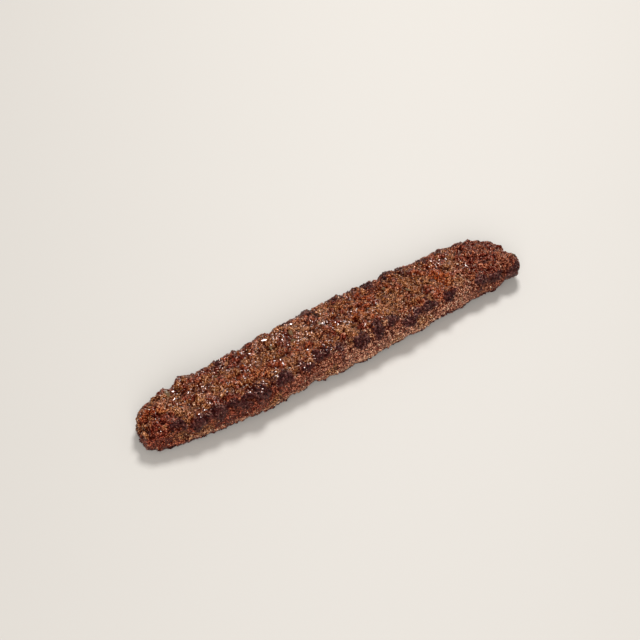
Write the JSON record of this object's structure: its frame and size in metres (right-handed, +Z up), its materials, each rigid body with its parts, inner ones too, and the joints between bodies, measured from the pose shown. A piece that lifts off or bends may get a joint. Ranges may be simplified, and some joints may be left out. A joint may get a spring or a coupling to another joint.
{
  "type": "kofta kebab",
  "caption": "Grilled minced-meat kofta: a long flat bar with finger-pressed ridges, rounded ends and a charred edge, off its skewer.",
  "frame": {"origin": "on the surface that the bar lies on, below the middle of its bounding box", "axes": "+X along the bar towards the end that curls off the surface, +Y towards the far side, +Z up through the crossed-ridged top"},
  "size_m": [0.2226, 0.0376, 0.0162],
  "materials": {
    "grilled_mince": "coarse grilled mince, red-brown with tan fat specks and dark char patches, oily and partly glossy"
  },
  "bodies": {
    "root": {"kofta": "grilled_mince"}
  },
  "joints": []
}
